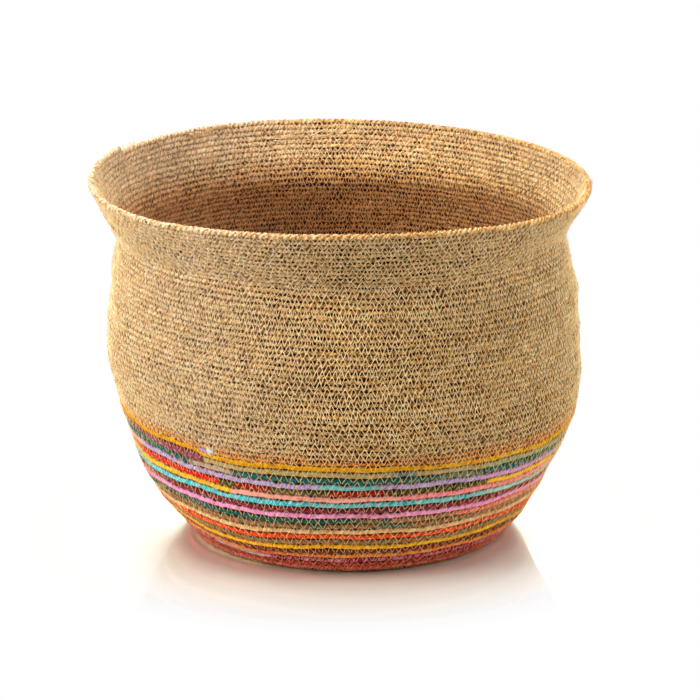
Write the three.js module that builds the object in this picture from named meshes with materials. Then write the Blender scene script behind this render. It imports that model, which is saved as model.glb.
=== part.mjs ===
// A round jute basket. One cord is wound in a flat spiral for the base and goes on up the wall
// to a flared, wavy rim. The lower turns of the wall are cord wrapped in coloured cloth, spliced
// end to end; the rest is bare jute. Millimetres, +Z up, standing on the plane z = 0 with the
// middle of the whole basket over the origin. The front is towards -Y.

import * as THREE from 'three';

// Cord
const JUTE_TURN_WIDTH = 4.65; // of wall, that one turn of bare jute takes up
const WRAPPED_TURN_WIDTH = 6.4; // of wall, that one turn of wrapped cord takes up
const JUTE_THICKNESS = 5.0;
const WRAPPED_THICKNESS = 6.4;
const PRESSED_SHARE = 0.45; // share of the cord's thickness where it lies against its neighbour
const SEAM_GAP = 0.3; // between touching turns, and between spliced ends

// Turns, counted up from where the wall starts; the base's turns are below zero
const WRAPPED_TURNS = 20;
const RIM_TURN = 63;
const WALL_TURNS = 64;
const RIM_CORD_TURNS = 0.972; // the rim cord is cut off a little short of once around
const TURNS_START = 153; // degrees from +X to where each turn is counted from, at the back left

// Wall, as a chain of arcs. Lean is in degrees from upright, outwards as the wall goes up.
const BASE_RADIUS = 131.5; // to the edge of the flat base
const FLAT_LEAN = 90;
const CORNER_LENGTH = 4;
const LOWEST_WALL_LENGTH = 18;
const LOWER_WALL_LENGTH = 42;
const UNDER_BELLY_LENGTH = 55;
const BELLY_LENGTH = 66;
const SHOULDER_LENGTH = 45;
const WALL_ARCS = [
  { length: CORNER_LENGTH, lean: 40 },
  { length: LOWEST_WALL_LENGTH, lean: 37 },
  { length: LOWER_WALL_LENGTH, lean: 29 },
  { length: UNDER_BELLY_LENGTH, lean: 21 },
  { length: BELLY_LENGTH, lean: -1 },
  { length: SHOULDER_LENGTH, lean: -5 },
];
const NECK_LEAN = -16; // from the shoulder up to the crease
const CREASE_LENGTH = 11;
const FLARE_LENGTH = 53; // from the crease at the neck to the rim
const FLARE_LENGTH_SWAY = 5; // the flare is this much shorter at +X and longer at -X
const FLARE_LEAN = 29;
const RIM_LEAN = 24;
// The wavy rim: the flare's lean rises and falls around the basket
const RIM_WAVES = [
  { lobes: 1, degrees: 7.8, crest: -55 },
  { lobes: 2, degrees: 4.5, crest: 44 },
  { lobes: 3, degrees: 4.6, crest: -30 },
];

// The whole basket is a little out of true, as a hand-made one is
const OVAL_SHARE = 0.034; // at the rim: deeper front to back and narrower side to side
const BASE_OFFSET_X = 6.6; // the base's middle from the overall box's middle
const BASE_OFFSET_Y = 1.9;
const RIM_OFFSET_X = 0.35; // the rim's own middle, the same way
const TURN_TILT = 3.3; // the turns are this much lower at +X and higher at -X
const TURN_TILT_HEIGHT = 100; // height at which that tilt is fully there
const WALL_SWAY = 2.2; // the wall strays this far along X, to and fro as it goes up
const SWAY_START = 83; // height at which it crosses from -X to +X
const SWAY_LENGTH = 128; // height of one sway to each side
const SWAY_BOTTOM = 30; // it fades out below this height
const SWAY_TOP = 205; // and above this one

const STEPS_PER_TURN = 30;
const INNER_RIB_STEP = 3; // turns between the points on the inner face of a bare jute band

const JUTE_COLOUR = 0xc4a06a;

// Wrapped cord lengths from the bottom up: where each starts, in turns, and its cloth's colour.
// Each ends where the next one starts.
const WRAPPED_CORDS = [
  { name: 'rose', start: 0, colour: 0xc8505a },
  { name: 'dark_red', start: 1.02, colour: 0x7e2f2c },
  { name: 'magenta', start: 2.21, colour: 0xa02a62 },
  { name: 'tan_orange', start: 3.08, colour: 0xc98238 },
  { name: 'dark_brown', start: 4.27, colour: 0x5e3a22 },
  { name: 'mustard', start: 5.12, colour: 0xd39a1e },
  { name: 'olive_brown', start: 6.3, colour: 0x7f7144 },
  { name: 'orange_red', start: 7.04, colour: 0xe4542c },
  { name: 'cream', start: 8.24, colour: 0xd2b283 },
  { name: 'flecked_brown', start: 9.1, colour: 0x8a6a48 },
  { name: 'coral', start: 10.17, colour: 0xcc6a44 },
  { name: 'deep_teal', start: 10.64, colour: 0x12705f },
  { name: 'orchid', start: 11.28, colour: 0xd680b4 },
  { name: 'maroon', start: 12.06, colour: 0x6e2c38 },
  { name: 'turquoise', start: 13.22, colour: 0x4fa9aa },
  { name: 'pink', start: 14.05, colour: 0xee7680 },
  { name: 'golden', start: 14.76, colour: 0xdf9c1c },
  { name: 'dark_green', start: 15.57, colour: 0x45502a },
  { name: 'bright_red', start: 15.77, colour: 0xc7302a },
  { name: 'lavender', start: 16.2, colour: 0xb99abf },
  { name: 'teal', start: 17.08, colour: 0x17776a },
  { name: 'grey_beige', start: 18.24, colour: 0xb09f74 },
  { name: 'old_maroon', start: 18.78, colour: 0x8a4a4c },
  { name: 'yellow', start: 19.2, colour: 0xd8a01f },
];

// Bare jute bands from the bottom up: the turn each starts at. Each ends where the next starts.
const JUTE_BANDS = [
  { name: 'jute_lower_wall', start: WRAPPED_TURNS },
  { name: 'jute_belly', start: 29 },
  { name: 'jute_shoulder', start: 38 },
  { name: 'jute_neck', start: 46 },
  { name: 'jute_flare', start: 53 },
  { name: 'jute_rim', start: RIM_TURN },
];

const DEGREE = Math.PI / 180;
const FULL_TURN = 2 * Math.PI;
const clamp = THREE.MathUtils.clamp;

// Arc position, along the wall from the edge of the base, of the lower side of a turn
function lowerSide(turn) {
  const wrapped = clamp(turn, 0, WRAPPED_TURNS);
  return wrapped * WRAPPED_TURN_WIDTH + (turn - wrapped) * JUTE_TURN_WIDTH;
}

const WALL_LENGTH = lowerSide(WALL_TURNS);

// Angle around the basket at a turn: the spiral climbs clockwise, seen from above
function angleAt(turn) {
  return TURNS_START * DEGREE - turn * FULL_TURN;
}

// The chain of arcs at one angle, each from where the last one ends
function wallArcs(angle) {
  let wave = 0;
  for (const { lobes, degrees, crest } of RIM_WAVES) {
    wave += degrees * Math.cos(lobes * (angle - crest * DEGREE));
  }
  const arcs = WALL_ARCS.map(({ length, lean }) => ({ length, lean }));
  const lowerWall = arcs.reduce((sum, arc) => sum + arc.length, 0);
  const flare = FLARE_LENGTH - FLARE_LENGTH_SWAY * Math.cos(angle);
  const crease = WALL_LENGTH - flare;
  arcs.push({ length: crease - CREASE_LENGTH / 2 - lowerWall, lean: NECK_LEAN });
  arcs.push({ length: CREASE_LENGTH, lean: FLARE_LEAN + wave });
  arcs.push({ length: flare - CREASE_LENGTH / 2, lean: RIM_LEAN + wave });
  return arcs;
}

// Radius, height and lean of the cord's centre surface at an arc position
function wallAt(position, angle) {
  const arcs = wallArcs(angle);
  let radius = BASE_RADIUS;
  let height = JUTE_THICKNESS / 2;
  let lean = FLAT_LEAN * DEGREE;
  let left = position;
  if (left < 0) {
    return { radius: radius + left, height, lean };
  }
  for (let i = 0; i < arcs.length; i += 1) {
    const last = i === arcs.length - 1;
    const walked = last ? left : Math.min(left, arcs[i].length);
    const bend = (arcs[i].lean * DEGREE - lean) / arcs[i].length;
    const next = lean + bend * walked;
    radius += (Math.cos(lean) - Math.cos(next)) / bend;
    height += (Math.sin(next) - Math.sin(lean)) / bend;
    lean = next;
    left -= walked;
    if (left <= 0) break;
  }
  return { radius, height, lean };
}

const RIM_HEIGHT = wallAt(WALL_LENGTH, Math.PI / 2).height;

// Puts a point of the true round basket where the slightly crooked one has it
function place(radius, height, angle) {
  const up = clamp(height / RIM_HEIGHT, 0, 1);
  const round = 1 - OVAL_SHARE * up * Math.cos(2 * angle);
  const tilt = TURN_TILT * clamp(height / TURN_TILT_HEIGHT, 0, 1);
  const fade = clamp(Math.min(height, SWAY_TOP + SWAY_BOTTOM - height) / SWAY_BOTTOM, 0, 1);
  const sway = WALL_SWAY * fade * Math.sin((FULL_TURN * (height - SWAY_START)) / SWAY_LENGTH);
  const middleX = THREE.MathUtils.lerp(BASE_OFFSET_X, RIM_OFFSET_X, up) + sway;
  return new THREE.Vector3(
    radius * round * Math.cos(angle) + middleX,
    radius * round * Math.sin(angle) + BASE_OFFSET_Y,
    height - tilt * Math.cos(angle),
  );
}

// A point off the centre surface: along the wall, and out through its thickness
function pointOnWall(position, along, out, angle) {
  const { radius, height, lean } = wallAt(position, angle);
  return place(
    radius + along * Math.sin(lean) + out * Math.cos(lean),
    height + along * Math.cos(lean) - out * Math.sin(lean),
    angle,
  );
}

// The outline of a band of turns, cut through at one of the steps around the basket:
// up the outside, crest and valley by turns, and down the inside
function bandOutline(turn, turns, thickness, innerStep) {
  const angle = angleAt(turn);
  const crest = thickness / 2;
  const pressed = crest * PRESSED_SHARE;
  const middle = (row) => (lowerSide(turn + row) + lowerSide(turn + row + 1)) / 2;
  const outline = [pointOnWall(lowerSide(turn), SEAM_GAP / 2, pressed, angle)];
  for (let row = 0; row < turns; row += 1) {
    outline.push(pointOnWall(middle(row), 0, crest, angle));
    const inGap = row === turns - 1 ? -SEAM_GAP / 2 : 0;
    outline.push(pointOnWall(lowerSide(turn + row + 1), inGap, pressed, angle));
  }
  outline.push(pointOnWall(lowerSide(turn + turns), -SEAM_GAP / 2, -pressed, angle));
  for (let row = turns - 1; row >= 0; row -= innerStep) {
    outline.push(pointOnWall(middle(row), 0, -crest, angle));
  }
  outline.push(pointOnWall(lowerSide(turn), SEAM_GAP / 2, -pressed, angle));
  return outline;
}

// The same outline anywhere on the spiral, straight between two steps, so that a turn and
// its neighbours keep the same flat stretches however they are cut to length
function outlineAt(turn, ...shape) {
  const step = Math.floor(turn * STEPS_PER_TURN + 1e-9);
  const share = turn * STEPS_PER_TURN - step;
  const from = bandOutline(step / STEPS_PER_TURN, ...shape);
  if (share < 1e-6) return from;
  const to = bandOutline((step + 1) / STEPS_PER_TURN, ...shape);
  return from.map((point, i) => point.lerp(to[i], share));
}

// A closed solid through a row of outlines that have as many points each
function solidThrough(outlines) {
  const count = outlines[0].length;
  const positions = outlines.flat().flatMap((point) => point.toArray());
  const faces = [];
  for (let i = 0; i < outlines.length - 1; i += 1) {
    for (let j = 0; j < count; j += 1) {
      const a = i * count + j;
      const b = i * count + ((j + 1) % count);
      faces.push(a, b, a + count, b, b + count, a + count);
    }
  }
  const capFaces = (outline) => {
    const axis = new THREE.Vector2(BASE_OFFSET_X, BASE_OFFSET_Y);
    const flat = outline.map((p) => new THREE.Vector2(Math.hypot(p.x - axis.x, p.y - axis.y), p.z));
    return THREE.ShapeUtils.triangulateShape(flat, []);
  };
  const end = (outlines.length - 1) * count;
  for (const [a, b, c] of capFaces(outlines[0])) faces.push(a, c, b);
  for (const [a, b, c] of capFaces(outlines[outlines.length - 1])) faces.push(end + a, end + b, end + c);
  const geometry = new THREE.BufferGeometry();
  geometry.setAttribute('position', new THREE.Float32BufferAttribute(positions, 3));
  geometry.setIndex(faces);
  return geometry;
}

// Turns from one end of a length of cord to the other, clear of what it is spliced to
function stepsBetween(start, end) {
  const clear = SEAM_GAP / 2 / (FULL_TURN * BASE_RADIUS);
  const turns = [start + clear];
  const first = Math.ceil((start + 2 * clear) * STEPS_PER_TURN);
  const last = Math.floor((end - 2 * clear) * STEPS_PER_TURN);
  for (let step = first; step <= last; step += 1) turns.push(step / STEPS_PER_TURN);
  turns.push(end - clear);
  return turns;
}

const basket = new THREE.Group();
basket.name = 'jute_basket';

function addPiece(name, geometry, colour) {
  geometry.computeVertexNormals();
  const material = new THREE.MeshStandardMaterial({ color: colour, roughness: 0.95, metalness: 0 });
  const piece = new THREE.Mesh(geometry, material);
  piece.name = name;
  basket.add(piece);
}

// The flat base: the spiral of jute turns inside the edge cord, as one stitched disc
function baseCoil() {
  const outline = [];
  for (let step = 0; step <= STEPS_PER_TURN; step += 1) {
    const turn = -1 + step / STEPS_PER_TURN;
    const { x, y } = pointOnWall(lowerSide(turn), -SEAM_GAP / 2, 0, angleAt(turn));
    outline.push(new THREE.Vector2(x, y));
  }
  const disc = new THREE.Shape(outline);
  return new THREE.ExtrudeGeometry(disc, { depth: JUTE_THICKNESS, bevelEnabled: false });
}

// One length of cord on the spiral
function cordLength(start, end, thickness) {
  const outlines = stepsBetween(start, end).map((turn) => outlineAt(turn, 1, thickness, 1));
  return solidThrough(outlines);
}

// A band of several turns of bare jute, once around the basket and up by one turn
function juteBand(start, end, around) {
  const turns = end - start;
  const shape = [turns, JUTE_THICKNESS, INNER_RIB_STEP];
  const steps = stepsBetween(start, start + around);
  return solidThrough(steps.map((turn) => outlineAt(turn, ...shape)));
}

addPiece('base_coil', baseCoil(), JUTE_COLOUR);
addPiece('base_edge_cord', cordLength(-1, 0, JUTE_THICKNESS), JUTE_COLOUR);

WRAPPED_CORDS.forEach(({ name, start, colour }, i) => {
  const end = i + 1 < WRAPPED_CORDS.length ? WRAPPED_CORDS[i + 1].start : WRAPPED_TURNS;
  const number = String(i + 1).padStart(2, '0');
  addPiece(`cord_${number}_${name}`, cordLength(start, end, WRAPPED_THICKNESS), colour);
});

JUTE_BANDS.forEach(({ name, start }, i) => {
  const end = i + 1 < JUTE_BANDS.length ? JUTE_BANDS[i + 1].start : WALL_TURNS;
  const around = start === RIM_TURN ? RIM_CORD_TURNS : 1;
  addPiece(name, juteBand(start, end, around), JUTE_COLOUR);
});

export default basket;
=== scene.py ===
import math

import bpy
import numpy as np
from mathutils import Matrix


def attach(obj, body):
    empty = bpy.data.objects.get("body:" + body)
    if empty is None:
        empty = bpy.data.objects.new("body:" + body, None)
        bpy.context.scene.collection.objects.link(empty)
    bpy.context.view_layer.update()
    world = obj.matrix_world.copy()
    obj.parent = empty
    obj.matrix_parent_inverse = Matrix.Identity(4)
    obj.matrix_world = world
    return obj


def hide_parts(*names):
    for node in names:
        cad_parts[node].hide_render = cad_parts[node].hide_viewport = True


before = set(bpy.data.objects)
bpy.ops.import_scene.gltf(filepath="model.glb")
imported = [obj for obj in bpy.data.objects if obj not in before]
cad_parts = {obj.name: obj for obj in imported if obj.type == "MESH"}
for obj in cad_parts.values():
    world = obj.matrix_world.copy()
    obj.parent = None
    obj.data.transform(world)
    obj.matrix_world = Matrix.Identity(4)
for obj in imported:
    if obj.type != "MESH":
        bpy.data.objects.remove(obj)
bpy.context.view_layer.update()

# THE BASE
# Two strands of jute are twisted into one long cord. It is wound flat from the middle out for the
# base, and the same spiral then climbs the wall. Each turn is stitched to the one before it.

JUTE_TURN_WIDTH = 0.00465  # of wall, that one turn of bare cord takes up
WRAPPED_TURN_WIDTH = 0.0064  # of wall, that one turn of rag-wrapped cord takes up
WRAPPED_TURNS = 20
RIM_TURN = 63  # the turn at which the rim cord starts
WALL_TURNS = 64
TURNS_START = math.radians(153)  # where each turn is counted from, at the back left
BASE_TURNS = 29.0  # from the middle of the base to its edge
JUTE_THICKNESS = 0.005
WRAPPED_THICKNESS = 0.0064

BASE_RADIUS = 0.1315
WALL_ARCS = [  # length along the wall, lean in degrees from upright
    (0.004, 40),
    (0.018, 37),
    (0.042, 29),
    (0.055, 21),
    (0.066, -1),
    (0.045, -5),
]
NECK_LEAN = -16
CREASE_LENGTH = 0.011  # the short bend from the neck into the flare
FLARE_LENGTH = 0.053
FLARE_LENGTH_SWAY = 0.005  # longer at the left, shorter at the right
FLARE_LEAN = 29
RIM_LEAN = 24
RIM_WAVES = [(1, 7.8, -55), (2, 4.5, 44), (3, 4.6, -30)]  # lobes, degrees, crest

OVAL_SHARE = 0.034  # how much narrower the rim is from side to side than from front to back
BASE_OFFSET = (0.0066, 0.0019)  # of the base's middle
RIM_OFFSET_X = 0.00035
TURN_TILT = 0.0033  # how much lower each turn lies at the right than at its middle
TURN_TILT_HEIGHT = 0.1  # the height from which the tilt is full
WALL_SWAY = 0.0022  # how far the wall strays sideways as it goes up
SWAY_START = 0.083  # a height where it crosses the middle
SWAY_LENGTH = 0.128  # height of one sway to and fro
SWAY_BOTTOM = 0.03  # the heights between which it is full
SWAY_TOP = 0.205

FRONT_SAG = 0.0019  # how far the lower rows sag at the front
LEFT_SAG = 0.003  # and how much further at the front left
LEFT_SAG_SIDE = (240, 0.16)  # degrees around, and how wide
SAG_HEIGHTS = (0.03, 0.12, 0.2)  # where the sag is full, starts to fade and is gone

SPLICE_ROW = 18  # the turn with one thick splice, where a cord's end is doubled over
SPLICE_SWELL = 0.5  # how much thicker it is
SPLICE_SHARES = (0.779, 0.7835, 0.793, 0.838)  # of its turn: starts, is thick, thins and ends
PUSH_FADE = 3  # turns above the splice over which its push dies away

# Unevenness of hand work: metres, waves around the basket, radians for each metre up, phase
DENTS = [(0.0007, 3, 38, 0), (0.0005, 7, -55, 0), (0.0004, 13, 170, 0)]  # out of the wall
STRAYS = [(0.0006, 5, 60, 1), (0.0003, 23, -90, 0), (0.00025, 67, 330, 0)]  # and along it
HELD_EDGE = 0.03  # within this of the base and the rim the wall is truer
RIM_FREEDOM = 0.3  # share of the unevenness that is left at the rim


def smooth(value, low, high):
    """From 0 at low to 1 at high without a kink."""
    share = np.clip((value - low) / (high - low), 0, 1)
    return share * share * (3 - 2 * share)


def lower_side(turn):
    """Distance up the wall, from the base's edge, of the lower side of a turn."""
    wrapped = np.clip(turn, 0, WRAPPED_TURNS)
    return wrapped * WRAPPED_TURN_WIDTH + (turn - wrapped) * JUTE_TURN_WIDTH


def middle(turn):
    """Distance up the wall of the middle of a turn."""
    return (lower_side(turn) + lower_side(turn + 1)) / 2


def angle_at(turn):
    """Direction of a place on the coil, in radians: it runs clockwise as seen from above."""
    return TURNS_START - 2 * math.pi * turn


WALL_LENGTH = lower_side(WALL_TURNS)


def wall_at(position, angle):
    """Radius, height and lean of the middle of the wall: a chain of arcs from the base up."""
    wave = sum(
        degrees * np.cos(lobes * (angle - math.radians(crest)))
        for lobes, degrees, crest in RIM_WAVES
    )
    flare = FLARE_LENGTH - FLARE_LENGTH_SWAY * np.cos(angle)
    below = sum(length for length, lean in WALL_ARCS)
    arcs = WALL_ARCS + [
        (WALL_LENGTH - flare - CREASE_LENGTH / 2 - below, NECK_LEAN),
        (CREASE_LENGTH, FLARE_LEAN + wave),
        (flare - CREASE_LENGTH / 2, RIM_LEAN + wave),
    ]
    radius = BASE_RADIUS + np.minimum(position, 0)
    height = np.full_like(radius, JUTE_THICKNESS / 2)
    lean = np.full_like(radius, math.pi / 2)
    left = np.maximum(position, 0)
    for i, (length, to) in enumerate(arcs):
        walked = left if i == len(arcs) - 1 else np.minimum(left, length)
        bend = (np.radians(to) - lean) / length
        after = lean + bend * walked
        radius = radius + (np.cos(lean) - np.cos(after)) / bend
        height = height + (np.sin(after) - np.sin(lean)) / bend
        lean = after
        left = left - walked
    return radius, height, lean


RIM_HEIGHT = wall_at(np.array([WALL_LENGTH]), np.array([math.pi / 2]))[1][0]


def swollen(position, angle):
    """How much the thick splice swells the wall there, and pushes the turns above it up."""
    share = np.mod((TURNS_START - angle) / (2 * math.pi), 1)
    starts, thick, thins, ends = SPLICE_SHARES
    near = smooth(share, starts, thick) * (1 - smooth(share, thins, ends))
    rise = (position - lower_side(SPLICE_ROW + share)) / WRAPPED_TURN_WIDTH
    within = np.clip(rise, 0, 1)
    swell = near * np.sqrt(np.sin(math.pi * within))
    return swell, near * within * np.exp(-np.maximum(rise - 1, 0) / PUSH_FADE)


def ripples(waves, position, angle):
    """The sum of a few sine waves that run round the basket and up its wall."""
    return sum(
        size * np.sin(around * angle + up * position + phase) for size, around, up, phase in waves
    )


def beside(angle, degrees, width):
    """1 on one side of the basket, so many degrees around, and falling to 0 away from it."""
    return np.exp(-(np.cos(angle / 2 - math.radians(degrees / 2 - 90)) / width) ** 2)


def on_wall(position, along, out, angle, lowest=0.0005):
    """A point on the hand-made wall: so far up it, then along it and out through its thickness.
    It lies no lower than lowest, to stay off the floor."""
    swell, push = swollen(position + along, angle)
    along = along + push * SPLICE_SWELL * WRAPPED_TURN_WIDTH
    radius, height, lean = wall_at(position, angle)
    free = np.clip(position / HELD_EDGE, 0, 1)
    free = free * np.clip((WALL_LENGTH - position) / HELD_EDGE, RIM_FREEDOM, 1)
    out = out * (1 + SPLICE_SWELL * swell) + free * ripples(DENTS, position, angle)
    along = along + free * ripples(STRAYS, position, angle)
    radius = radius + along * np.sin(lean) + out * np.cos(lean)
    height = height + along * np.cos(lean) - out * np.sin(lean)
    up = np.clip(height / RIM_HEIGHT, 0, 1)
    oval = 1 - OVAL_SHARE * up * np.cos(2 * angle)
    fade = np.clip(np.minimum(height, SWAY_TOP + SWAY_BOTTOM - height) / SWAY_BOTTOM, 0, 1)
    sway = WALL_SWAY * fade * np.sin(2 * math.pi * (height - SWAY_START) / SWAY_LENGTH)
    middle_x = BASE_OFFSET[0] + (RIM_OFFSET_X - BASE_OFFSET[0]) * up + sway
    tilt = TURN_TILT * np.clip(height / TURN_TILT_HEIGHT, 0, 1)
    x = radius * oval * np.cos(angle) + middle_x
    y = radius * oval * np.sin(angle) + BASE_OFFSET[1]
    full, fades, gone = SAG_HEIGHTS
    sagging = np.clip(height / full, 0, 1) * (1 - smooth(height, fades, gone))
    sag = FRONT_SAG * np.sqrt(np.clip(-np.sin(angle), 0, 1))
    sag = sag + LEFT_SAG * beside(angle, *LEFT_SAG_SIDE)
    z = height - tilt * np.cos(angle) - sagging * sag
    return np.stack([x, y, np.maximum(z, lowest)], -1)


def uneven(rng, turns, per_turn):
    """Random numbers from -1 to 1 that change smoothly along the cord, so often in a turn."""
    places = (turns - turns.min()) * per_turn
    knots = rng.uniform(-1, 1, int(places.max()) + 3)
    first = places.astype(int)
    share = places - first
    share = share * share * (3 - 2 * share)
    return knots[first] * (1 - share) + knots[first + 1] * share


def lumpy(rng, turns, lumps, around=0):
    """A value that strays around another along the cord, by lumps of several sizes."""
    return sum((size * uneven(rng, turns, per_turn) for size, per_turn in lumps), around)


MEASURED_PER_TURN = 240  # places where the cord's length is measured


def metres_along(start, end):
    """Turns close together from start to end, and the metres of cord up to each."""
    fine = np.linspace(start, end, max(int((end - start) * MEASURED_PER_TURN), 8))
    places = on_wall(middle(fine), 0, 0, angle_at(fine))
    lengths = np.linalg.norm(np.diff(places, axis=0), axis=1)
    return fine, np.concatenate([[0], np.cumsum(lengths)])


def turns_every(step, start, end):
    """Turns from start to end, one every step metres of cord, and the metres to each."""
    fine, metres = metres_along(start, end)
    at = np.linspace(0, metres[-1], max(int(metres[-1] / step), 4) + 1)
    return np.interp(at, metres, fine), at


STITCHES = [  # turn, and the cord length that one zig and one zag take up there
    (0, 0.0079),
    (20, 0.0078),
    (24, 0.0067),
    (35, 0.0061),
    (42, 0.0053),
    (48, 0.0051),
    (53, 0.0070),
]
STITCH_WIDTH = 0.0070  # of the zigzag, across the seam
STITCH_WIDTH_RAGS = 0.0086
STITCH_DRIFT = 0.3  # how much longer or shorter the stitches get over a stretch
STITCH_DRIFTS = 0.04  # such stretches in a stitch
STITCH_JITTER = 0.24  # and from one hole to the next
SIDE_JITTER = 0.14  # of the zigzag's width
HOLES_TRIED = 2.6  # for each stitch, which needs two
RIM_EDGE = 0.0014  # the zigzag stays this far below the top of the rim


def needle_holes():
    """Each place where the needle went through: its turn, and its distance up the wall."""
    rng = np.random.default_rng(5)
    fine, metres = metres_along(-BASE_TURNS, WALL_TURNS - 1)
    length = np.interp(fine, *np.array(STITCHES).T)
    sewn = np.concatenate([[0], np.cumsum(np.diff(metres) / length[1:])])
    at = np.linspace(0, sewn[-1], int(sewn[-1] * HOLES_TRIED))
    pace = 1 + STITCH_DRIFT * uneven(rng, at, STITCH_DRIFTS)
    pace = pace + rng.uniform(-STITCH_JITTER, STITCH_JITTER, len(at))
    at = np.cumsum(pace / 2)
    at = at[at < sewn[-1]]
    turns = np.interp(at, sewn, fine)
    side = np.arange(len(at)) % 2 - 0.5 + rng.uniform(-SIDE_JITTER, SIDE_JITTER, len(at))
    wrapped = (turns > -1) & (turns < WRAPPED_TURNS - 1)
    places = lower_side(turns + 1) + side * np.where(wrapped, STITCH_WIDTH_RAGS, STITCH_WIDTH)
    return turns, np.minimum(places, lower_side(turns + 2) - RIM_EDGE)


HOLES, HOLE_PLACES = needle_holes()


def stitches_by(turn):
    """Stitches sewn over the seam above a turn by there; whole where the thread crosses it."""
    crossings = (HOLES[:-1] + HOLES[1:]) / 2
    return np.interp(turn, crossings, np.arange(len(crossings)))


UV_STRIPS = 24  # in which a tube's faces are laid out, one above the other
UV_MARGIN = 0.04  # of a strip


def spokes(sides):
    """The directions of a ring's points from its middle, in radians."""
    return 2 * np.pi * np.arange(sides) / sides


def add_tubes(name, rings, facts, material):
    """Closed tubes through rings of points (tube, ring, side), as one piece that rides on the
    basket, with facts stored at its points by name."""
    tubes, count, sides = rings.shape[:3]
    spans = count - 1
    row = np.arange(tubes * spans)[:, None, None]
    ring = row // spans * count + row % spans
    side = np.arange(sides)[None, :, None]
    near = np.array([0, 1, 1, 0])
    turned = np.array([0, 0, 1, 1])
    quads = (ring + near) * sides + (side + turned) % sides
    first = np.arange(tubes)[:, None] * count * sides + np.arange(sides)
    last = first + spans * sides
    edge = rings[0, 0] - rings[0, 0].mean(0)
    spin = np.cross(edge, np.roll(edge, -1, 0)).sum(0)
    if spin @ (rings[0, 1].mean(0) - rings[0, 0].mean(0)) > 0:
        quads = quads[..., ::-1]
        near = near[::-1]
        turned = turned[::-1]
        first = first[:, ::-1]
    else:
        last = last[:, ::-1]
    corners = np.concatenate([quads.ravel(), first.ravel(), last.ravel()])
    starts = np.concatenate([
        np.arange(quads.size // 4) * 4,
        quads.size + np.arange(2 * tubes) * sides,
    ])

    strip = math.ceil(tubes * spans / UV_STRIPS)
    u = (row % strip + near + 0 * side) / strip
    v = row // strip + UV_MARGIN + (1 - 2 * UV_MARGIN) * (side + turned) / sides
    uv = np.concatenate([
        np.stack([u, v / UV_STRIPS], -1).reshape(-1, 2),
        np.full((2 * tubes * sides, 2), 0.5 / UV_STRIPS),
    ])

    mesh = bpy.data.meshes.new(name)
    mesh.vertices.add(tubes * count * sides)
    mesh.vertices.foreach_set("co", rings.astype(np.float32).ravel())
    mesh.loops.add(len(corners))
    mesh.loops.foreach_set("vertex_index", corners.astype(np.int32))
    mesh.polygons.add(len(starts))
    mesh.polygons.foreach_set("loop_start", starts.astype(np.int32))
    mesh.polygons.foreach_set("use_smooth", np.ones(len(starts), bool))
    mesh.uv_layers.new(name="OFBake").data.foreach_set("uv", uv.astype(np.float32).ravel())
    for fact, values in facts.items():
        wide = np.ndim(values) == rings.ndim
        stored = mesh.attributes.new(fact, "FLOAT_VECTOR" if wide else "FLOAT", "POINT")
        shape = rings.shape if wide else rings.shape[:3]
        flat = np.broadcast_to(values, shape).astype(np.float32).ravel()
        stored.data.foreach_set("vector" if wide else "value", flat)
    mesh.update(calc_edges=True)
    mesh.materials.append(material)
    piece = bpy.data.objects.new(name, mesh)
    bpy.context.scene.collection.objects.link(piece)
    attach(piece, "root")
    return piece


def lay_at(metres, around):
    """Where each point lies: metres along its strand, and its direction around it."""
    along = metres[..., None] + 0 * around
    return np.stack([along, np.cos(around) + 0 * along, np.sin(around) + 0 * along], -1)


DEEP_INSIDE = 54.9  # below this turn the inner face is painted browner: painted shade, and a browner tone
DEEP_INSIDE_FADE = 4.7
DEEP_INSIDE_LEFT = 1.8  # the painted shade reaches so many turns higher at the left, where the rim shades the inner wall


def down_inside(turn):
    """How strongly the inner face is painted browner at a turn, from 0 to 1: painted shade, and a
    browner tone.
    """
    left = np.clip(-np.cos(angle_at(turn)), 0, 1)
    return np.clip((DEEP_INSIDE + DEEP_INSIDE_LEFT * left - turn) / DEEP_INSIDE_FADE, 0, 1)


def cord_facts(turns, metres, around, angle):
    """What the materials ask about each point of a cord. Deep is 1 at a seam, stitch counts the
    stitches sewn by there, inner is 1 deep inside, where the inside's painted shade is full, and
    outer is 1 on the outer face."""
    turn = turns[:, None] + 0 * angle
    upper = np.cos(angle) > 0
    free = upper & (turn > RIM_TURN)
    return {
        "lay": lay_at(metres, around)[None],
        "turn": turn[None],
        "deep": np.where(free, 0, np.abs(np.cos(angle)))[None],
        "stitch": np.where(upper, stitches_by(turn), stitches_by(turn - 1))[None],
        "inner": (np.clip(0.5 - np.sin(angle), 0, 1) * down_inside(turn))[None],
        "outer": (np.clip(0.5 + np.sin(angle), 0, 1) + 0 * turn)[None],
    }


def dye(code):
    """A colour written as on a screen, as the light values that a shader takes."""
    parts = [int(code[i:i + 2], 16) / 255 for i in (0, 2, 4)]
    light = [c / 12.92 if c <= 0.04045 else ((c + 0.055) / 1.055) ** 2.4 for c in parts]
    return (*light, 1.0)


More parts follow.
